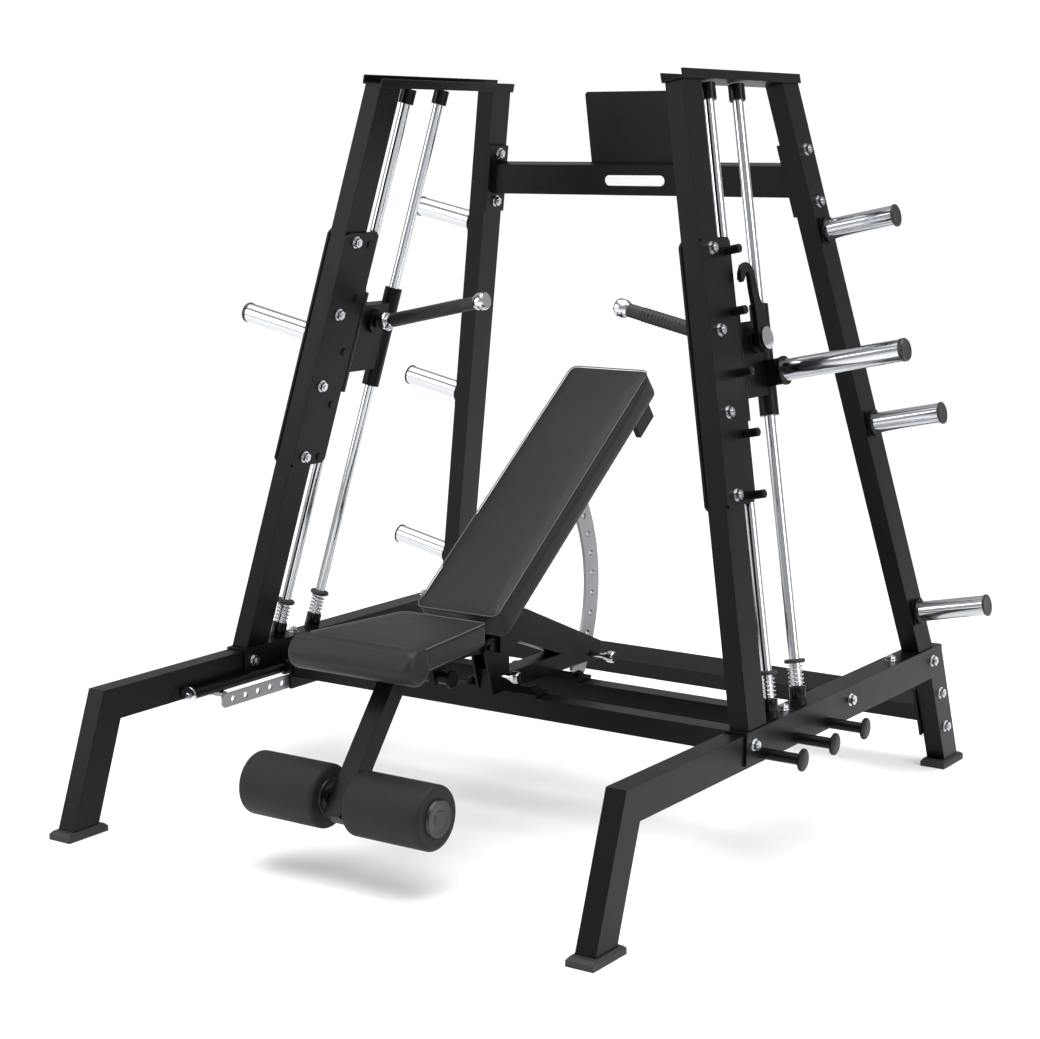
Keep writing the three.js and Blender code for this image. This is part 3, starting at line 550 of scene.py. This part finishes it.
def square_plate(name, sign, y, v, half, n0, n1):
    corners = [(-half, -half), (half, -half), (half, half), (-half, half)]
    points = [tower(sign, y + a, v + b, n) for n in (n0, n1) for a, b in corners]
    faces = [(3, 2, 1, 0), (4, 5, 6, 7)] + [(i, (i + 1) % 4, (i + 1) % 4 + 4, i + 4) for i in range(4)]
    return new_object(name, mesh_from(name, points, faces), FRAME_BLACK, "frame")


def build_sleeves():
    root = 0.0455
    spots = {"right": (0.114, 1.083, 0.352), "left": (0.0074, 1.095, 0.35455)}
    for side, sign in SIDES:
        y, v, end = spots[side]
        length = end - root
        body = f"{side}_carriage_body"
        a, b = tower(sign, y, v, root), tower(sign, y, v, 0.5)
        bar = turned(f"{side} sleeve", a, b,
                     [(0, 0.006), (0.025, 0.006), (0.025, length - 0.011), (0, length - 0.011)],
                     CHROME, body, 64)
        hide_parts(f"{side}_weight_sleeve")
        turned(f"{side} sleeve flange", a, b,
               [(0, 0), (0.0325, 0), (0.033, 0.001), (0.033, 0.007), (0.032, 0.008), (0, 0.008)],
               FRAME_BLACK, body, 64)
        turned(f"{side} sleeve cap", a, b,
               [(0, length - 0.0115), (0.0255, length - 0.0115), (0.026, length - 0.010),
                (0.026, length - 0.003), (0.0235, length), (0.018, length - 0.0006), (0, length - 0.0006)],
               END_CAP, body, 64)
        pivot = tower(sign, AXLE_Y, AXLE_V, 0.0500)
        turned(f"{side} hook pivot cap", pivot, tower(sign, AXLE_Y, AXLE_V, 0.0522),
               [(0, 0), (0.0255, 0), (0.0255, 0.0020), (0.0235, 0.0028), (0, 0.0030)],
               CHROME, f"{side}_grip", 48)


def build_handles():
    """Bent-up grips: chrome collar, ribbed rubber sleeve and chrome end cap."""
    for side, sign in SIDES:
        body = f"{side}_grip"
        a, b = tower(sign, AXLE_Y, AXLE_V, -0.0303), tower(sign, 0.0684, 1.2871, -0.3112)
        length = (b - a).length
        grip = turned(f"{side} grip sleeve", a, b,
                      [(0, 0.040), (0.0172, 0.042), (0.0178, 0.046), (0.0168, length * 0.5),
                       (0.0158, length - 0.004), (0, length - 0.003)], GRIP_RUBBER, body, 56)
        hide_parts(f"{side}_handle")
        turned(f"{side} grip collar", a, b,
               [(0, 0.0105), (0.0225, 0.0105), (0.0238, 0.013), (0.0238, 0.026), (0.021, 0.029),
                (0.0145, 0.030), (0.0145, 0.041), (0, 0.041)], CHROME, body, 56)
        e = length - 0.020
        turned(f"{side} grip end cap", a, b,
               [(0, e + 0.006), (0.0155, e + 0.006), (0.0195, e + 0.012), (0.0215, e + 0.017),
                (0.0218, e + 0.034), (0.0195, e + 0.039), (0.012, e + 0.0397), (0, e + 0.0399)],
               CHROME, body, 56)
        from_tree(f"{side} grip ribs", RIBS,
                  {"Count": 22, "Pitch": 0.0095, "Radius": 0.0163, "Rib": 0.0012, "Material": GRIP_RUBBER},
                  standing(a + (b - a) * (0.052 / length), b), body)


def build_rails():
    for side, sign in SIDES:
        a = Vector((sign * 0.655, -0.513, 0.268))
        b = a + Vector((0, 1, 0))
        length = 0.793
        bar = turned(f"{side} rail bar", a, b,
                     [(0, 0.004), (0.0125, 0.004), (0.0125, length - 0.001), (0.0115, length), (0, length)],
                     GLOSS_BLACK, "frame", 48)
        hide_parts(f"{side}_slide_rail")
        turned(f"{side} rail end disc", a, b,
               [(0, 0), (0.021, 0), (0.022, 0.001), (0.022, 0.004), (0.021, 0.005), (0, 0.005)],
               CHROME, "frame", 48)
        turned(f"{side} rail end bolt", a - Vector((0, 0.0058, 0)), b,
               [(0, 0), (0.0065, 0), (0.008, 0.002), (0.008, 0.0062), (0, 0.0062)],
               BOLT_ZINC, "frame", 6)


def build_pins():
    """Sprung pull pins along X: the name, the CAD node, the tip's and the knob's X, then Y and Z."""
    for name, node, tip_x, knob_x, y, z in (
        ("recline pin pull", "recline_pin", 0.0056, 0.095, 0.2151, 0.319),
        ("seat pin pull", "seat_pin", 0.0226, 0.088, -0.195, 0.349),
        ("runner pin pull", "runner_pin", -0.6398, -0.560, -0.0442, 0.233),
    ):
        tip, knob = Vector((tip_x, y, z)), Vector((knob_x, y, z))
        length = (knob - tip).length
        profile = [(0, 0), (0.0046, 0), (0.006, 0.003), (0.006, length - 0.030), (0.009, length - 0.028),
                   (0.009, length - 0.022), (0.0135, length - 0.018), (0.0148, length - 0.012),
                   (0.0145, length - 0.004), (0.012, length), (0, length)]
        pin = turned(name, tip, knob, profile, CHROME, body_of(node), 40)
        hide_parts(node)


def rounded_end(radius, edge):
    """The quarter round at the end of a soft cylinder, as (radius, distance) points."""
    turns = [t * math.pi / 12 for t in range(7)]
    return [(radius - edge + edge * math.sin(t), edge - edge * math.cos(t)) for t in turns]


def cap_profile(bore, stand):
    """A roller's end cap: rim, dished ring and raised hub, whose face stands out by some distance."""
    face = [
        (0.040, 0.003), (0.030, 0.0034), (0.028, 0.0026), (0.019, 0.0026), (0.017, 0.0040), (bore, 0.0040)]
    profile = [(bore, 0), (0.042, 0), (0.0425, 0.0012)] + [(r, d + stand) for r, d in face]
    return profile + ([(bore, 0)] if bore else [])


def build_rollers():
    y, z, radius, inner, outer, bore = -0.7355, 0.1786, 0.0715, 0.040, 0.246, 0.0108
    length = outer - inner
    end = rounded_end(radius, 0.010)
    far_end = [(r, length - d) for r, d in reversed(end)]
    hub = radius - 0.02
    profile = [(bore, 0.001), (hub, 0.0)] + end + far_end
    profile += [(hub, length - 0.001), (bore, length - 0.002), (bore, 0.001)]
    for side, sign in SIDES:
        body = f"{side}_roller_body"
        start, toward = Vector((sign * inner, y, z)), Vector((sign * 1.0, y, z))
        piece = turned(f"{side} foam roller", start, toward, profile, FOAM, body, 96)
        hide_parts(f"{side}_roller")
        for name, x, way, cap in (
            ("outer", outer - 0.0012, 1, cap_profile(0.0, 0.0042)),
            ("inner", inner + 0.0012, -1, cap_profile(bore, 0.0)),
        ):
            spot = Vector((sign * x, y, z))
            ahead = spot + Vector((sign * way, 0, 0))
            turned(f"{side} roller {name} cap", spot, ahead, cap, END_CAP, body, 64)


# ---- pads ----
def drawn_in(outline, inset):
    """The outline moved inwards by a distance, point by point."""
    count = len(outline)
    result = []
    for i, (x, y) in enumerate(outline):
        along = (Vector(outline[(i + 1) % count]) - Vector(outline[i - 1])).normalized()
        result.append((x - along.y * inset, y + along.x * inset))
    return result


def crowned(outline, depth_low, depth_high, crown, edge, place, name, rings=7, cells=16):
    """A stuffed form over an outline: rounded side walls, a crowned face and a flat underside."""
    count = len(outline)
    cx = sum(p[0] for p in outline) / count
    cy = sum(p[1] for p in outline) / count
    profile = [(0.006, depth_low), (0.001, depth_low + 0.004), (0.0, depth_low + 0.012)]
    top = depth_high - crown
    for i in range(rings + 1):
        t = i / rings * math.pi / 2
        profile.append((edge * (1 - math.cos(t)), top - edge + edge * math.sin(t)))
    points = [(x, y, level) for inset, level in profile for x, y in drawn_in(outline, inset)]
    rim = drawn_in(outline, profile[-1][0])
    for k in range(1, cells):
        share = 1 - k / cells
        rise = top + crown * (1 - share ** 2.6)
        points += [(cx + (x - cx) * share, cy + (y - cy) * share, rise) for x, y in rim]
    points.append((cx, cy, depth_high))
    rows = len(profile) + cells - 1
    faces = [list(range(count))[::-1]]
    for k in range(rows - 1):
        for i in range(count):
            j = (i + 1) % count
            faces.append((k * count + i, k * count + j, (k + 1) * count + j, (k + 1) * count + i))
    for i in range(count):
        faces.append(((rows - 1) * count + i, (rows - 1) * count + (i + 1) % count, rows * count))
    return mesh_from(name, [place @ Vector(p) for p in points], faces, 60)


def rounded(corners, radius, steps=7, spacing=0.02):
    """A closed outline with rounded corners and evenly spaced points between them."""
    result = []
    count = len(corners)
    for i in range(count):
        p, a, b = (Vector(corners[i]), Vector(corners[i - 1]), Vector(corners[(i + 1) % count]))
        u, w = (a - p).normalized(), (b - p).normalized()
        half = u.angle(w) / 2
        reach = radius / math.tan(half)
        centre = p + (u + w).normalized() * (radius / math.sin(half))
        first, final = p + u * reach, p + w * reach
        for k in range(steps + 1):
            t = k / steps
            q = (first.lerp(final, t) - centre).normalized() * radius + centre
            result.append(q)
        following = Vector(corners[(i + 1) % count])
        nxt = (Vector(corners[(i + 2) % count]) - following).normalized()
        back = (p - following).normalized()
        stop = following + back * (radius / math.tan(back.angle(nxt) / 2))
        gap = (stop - final).length
        for k in range(1, int(gap / spacing)):
            result.append(final.lerp(stop, k / int(gap / spacing)))
    return [(q.x, q.y) for q in result]


def puffed(mesh, name, pinned_below, to_local):
    """Blows the stuffed form up a little with cloth pressure, held at its underside."""
    piece = bpy.data.objects.new(name + " blank", mesh)
    bpy.context.scene.collection.objects.link(piece)
    remesh = piece.modifiers.new("even mesh", "REMESH")
    remesh.mode = "VOXEL"
    remesh.voxel_size = 0.0045
    even = bpy.data.meshes.new_from_object(piece.evaluated_get(bpy.context.evaluated_depsgraph_get()))
    piece.modifiers.clear()
    piece.data = even
    held = piece.vertex_groups.new(name="held")
    rest = [v.co.copy() for v in even.vertices]
    for v in even.vertices:
        depth = (to_local @ v.co).z
        if depth < pinned_below:
            held.add([v.index], 1.0, "REPLACE")
    cloth = piece.modifiers.new("cloth", "CLOTH")
    s = cloth.settings
    s.vertex_group_mass = "held"
    s.use_pressure = True
    s.uniform_pressure_force = 4.0
    s.quality = 5
    s.tension_stiffness = 40
    s.compression_stiffness = 40
    s.shear_stiffness = 15
    s.bending_stiffness = 2.0
    s.effector_weights.gravity = 0.0
    cloth.collision_settings.use_collision = False
    cloth.point_cache.frame_end = 20
    scene = bpy.context.scene
    for step in range(1, 21):
        scene.frame_set(step)
    blown = bpy.data.meshes.new_from_object(piece.evaluated_get(bpy.context.evaluated_depsgraph_get()))
    scene.frame_set(1)
    for v, start in zip(blown.vertices, rest):
        move = v.co - start
        if move.length > PUFF_LIMIT:
            v.co = start + move.normalized() * PUFF_LIMIT
    bpy.data.objects.remove(piece)
    for polygon in blown.polygons:
        polygon.use_smooth = True
    return blown


def seam(name, line, closed, place, body):
    """A line of thread through the given points of a pad; its light colour also stands for a painted
    highlight along the pad's edge.
    """
    centre = [place @ Vector(p) for p in line]
    count = len(centre)
    up = (place.to_3x3() @ Vector((0, 0, 1))).normalized()
    points, faces, sides, r = [], [], 6, 0.0014
    for i, p in enumerate(centre):
        before = centre[i - 1] if closed or i else p
        after = centre[(i + 1) % count] if closed or i < count - 1 else p
        out = (after - before).normalized().cross(up).normalized()
        for k in range(sides):
            angle = 2 * math.pi * k / sides
            points.append(p + out * r * math.cos(angle) + up * r * math.sin(angle))
    for i in range(count if closed else count - 1):
        j = (i + 1) % count
        for k in range(sides):
            m = (k + 1) % sides
            faces.append((i * sides + k, j * sides + k, j * sides + m, i * sides + m))
    if not closed:
        faces += [tuple(range(sides)), tuple(range((count - 1) * sides, count * sides))]
    return new_object(name, mesh_from(name, points, faces, 60), THREAD_AND_PAINTED_HIGHLIGHT, body)


def build_back_pad():
    place = Matrix.Translation(PIVOT) @ Matrix.Rotation(RECLINE, 4, "X")
    start, end, half, low, high = -0.135, 0.700, 0.114, 0.062, 0.137
    outline = rounded([(-half, start), (half, start), (half, end), (-half, end)], 0.020)
    mesh = crowned(outline, low, high, 0.002, 0.007, place, "back pad")
    mesh = puffed(mesh, "back pad", low + 0.012, place.inverted())
    pad = new_object("back pad", mesh, VINYL, "back_rest")
    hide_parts("back_pad")
    line = [(x, y, high - 0.0034) for x, y in drawn_in(outline, 0.0012)]
    seam("back pad seam with painted highlight", line, True, place, "back_rest")


def build_seat_pad():
    place = Matrix.Identity(4)
    front, back, top, under = -0.726, -0.366, 0.520, 0.462
    outline = rounded([(-0.168, front + 0.012), (0.168, front + 0.012), (0.117, back), (-0.117, back)], 0.016)
    upper = crowned(outline, under, top, 0.003, 0.012, place, "seat pad")
    roll_y, roll_z, r, half = front + 0.040, 0.4795, 0.0395, 0.169
    arc = rounded_end(r, 0.012)
    profile = [(0, 0)] + arc + [(a, 2 * half - d) for a, d in reversed(arc)] + [(0, 2 * half)]
    roll = turned_mesh("seat roll", Vector((-half, roll_y, roll_z)), Vector((1, roll_y, roll_z)), profile, 48)
    joined = bmesh.new()
    joined.from_mesh(upper)
    joined.from_mesh(roll)
    mesh = bpy.data.meshes.new("seat pad")
    joined.to_mesh(mesh)
    joined.free()
    for polygon in mesh.polygons:
        polygon.use_smooth = True
    mesh = puffed(mesh, "seat pad", under + 0.001, Matrix.Identity(4))
    pad = new_object("seat pad", mesh, VINYL, "seat")
    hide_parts("seat_pad")
    line = [(x, y, top - 0.0055) for x, y in drawn_in(outline, 0.0022) if y > front + 0.065]
    seam("seat pad seam with painted highlight", line, False, place, "seat")


# ---- small details ----
def build_badge():
    """A blank pill-shaped badge on the front of the upper crossbeam."""
    tilt = math.radians(9.2)
    centre = Vector((0, 0.4501, 1.4820))
    place = Matrix.Translation(centre) @ Matrix.Rotation(math.pi / 2 + tilt, 4, "X")
    half, r, thick = 0.086, 0.013, 0.003
    outline = []
    for cx, first in ((half - r, -90), (-(half - r), 90)):
        for k in range(17):
            angle = math.radians(first + 180 * k / 16)
            outline.append((cx + r * math.cos(angle), r * math.sin(angle)))
    count = len(outline)
    levels = ((-0.001, 1.0), (thick - 0.001, 1.0), (thick, 0.985))
    points = [place @ Vector((x * s, y * (1 - (1 - s) * 5), z)) for z, s in levels for x, y in outline]
    faces = [list(range(count))[::-1], list(range(2 * count, 3 * count))]
    for k in range(2):
        for i in range(count):
            j = (i + 1) % count
            faces.append((k * count + i, k * count + j, (k + 1) * count + j, (k + 1) * count + i))
    new_object("blank badge", mesh_from("blank badge", points, faces), BADGE, "frame")


def build_bolts():
    """Bright bolts that hold the towers, saddles, racks, cross members and bench feet."""
    places = []
    for side, sign in SIDES:
        out = Vector((sign * COS, 0, SIN))
        across = Vector((sign, 0, 0))
        for v in (1.373, 1.194, 1.015, 0.836):
            y = front_post_y(v)
            places += [(tower(sign, y, v, 0.0300), out), (tower(sign, y, v, -0.0300), -out)]
        for v in (1.4635, 1.589):
            y = rear_post_y(v)
            places += [(tower(sign, y, v, 0.0236), out), (tower(sign, y, v, -0.0320), -out)]
        for y in (-0.251, 0.222, 0.690):
            places.append((Vector((sign * 0.7340, y, 0.302)), across))
            places.append((Vector((sign * 0.6740, y, 0.302)), -across))
        for y, z in ((0.759, 0.2045), (0.7976, 0.1095)):
            places.append((Vector((sign * 0.7286, y, z)), across))
        for y in (-0.060, 0.504):
            places.append((Vector((sign * 0.704, y, 0.3358)), Vector((0, 0, 1))))
    sizes = {"Washer radius": 0.0145, "Head radius": 0.0118, "Head height": 0.0102, "Material": BOLT_ZINC}
    from_tree("frame bolts", BOLTS, sizes, Matrix.Identity(4), "frame", places)
    feet = [(Vector((x, y, 0.3040)), Vector((0, 0, 1))) for x in (-0.092, 0.092) for y in (-0.131, 0.056)]
    sizes["Material"] = BENCH_BLACK
    from_tree("bench foot bolts", BOLTS, sizes, Matrix.Identity(4), "bench", feet)


COIL = coil_tree()
RIBS = rib_tree()
BOLTS = bolt_tree()

finish_steelwork()
build_rods()
build_horns()
build_sleeves()
build_handles()
build_rails()
build_pins()
build_rollers()
build_back_pad()
build_seat_pad()
build_badge()
build_bolts()


# ---- floor, light and camera ----
def build_stage():
    paper = plain("pale studio floor", "painted board", "#f4f4f4", 0.7)
    mesh = bpy.data.meshes.new("studio floor")
    mesh.from_pydata([(-60, -60, 0), (60, -60, 0), (60, 60, 0), (-60, 60, 0)], [], [(0, 1, 2, 3)])
    mesh.materials.append(paper)
    floor = bpy.data.objects.new("studio floor", mesh)
    bpy.context.scene.collection.objects.link(floor)


def area_light(name, place, aim, size, power):
    data = bpy.data.lights.new(name, "AREA")
    data.shape = "RECTANGLE"
    data.size, data.size_y = size
    data.energy = power
    lamp = bpy.data.objects.new(name, data)
    bpy.context.scene.collection.objects.link(lamp)
    lamp.location = place
    lamp.rotation_euler = (Vector(aim) - Vector(place)).to_track_quat("-Z", "Y").to_euler()


def build_light():
    world = bpy.data.worlds.new("soft studio")
    bpy.context.scene.world = world
    world.use_nodes = True
    tree = world.node_tree
    # The backdrop is seen white, and lights the machine more softly than that.
    seen = add(tree, "ShaderNodeLightPath").outputs["Is Camera Ray"]
    tree.links.new(varied(tree, seen, 0.50, 1.05), tree.nodes["Background"].inputs["Strength"])
    tree.nodes["Background"].inputs["Color"].default_value = linear("#ffffff")
    overhead = bpy.data.lights.new("overhead diffuser", "SUN")
    overhead.energy = 2.2
    overhead.angle = math.radians(70)
    lamp = bpy.data.objects.new("overhead diffuser", overhead)
    bpy.context.scene.collection.objects.link(lamp)
    bpy.context.scene.view_settings.view_transform = "Standard"
    area_light("overhead soft box", (0.6, -0.6, 4.2), (0, 0, 0.6), (4.5, 3.5), 110)
    area_light("left soft box", (-3.4, -3.6, 2.6), (0, 0, 0.8), (2.4, 3.0), 90)
    area_light("right soft box", (4.6, 0.2, 2.2), (0, 0, 0.8), (2.2, 3.2), 110)


def build_camera():
    data = bpy.data.cameras.new("camera")
    data.sensor_fit = "HORIZONTAL"
    data.sensor_width = 36.0
    data.lens = 75.87
    data.clip_end = 150
    camera = bpy.data.objects.new("camera", data)
    bpy.context.scene.collection.objects.link(camera)
    camera.location = (2.8621, -4.3027, 1.5742)
    camera.rotation_euler = (math.radians(90 - 9.742), 0, math.radians(34.019))
    bpy.context.scene.camera = camera


build_stage()
build_light()
build_camera()
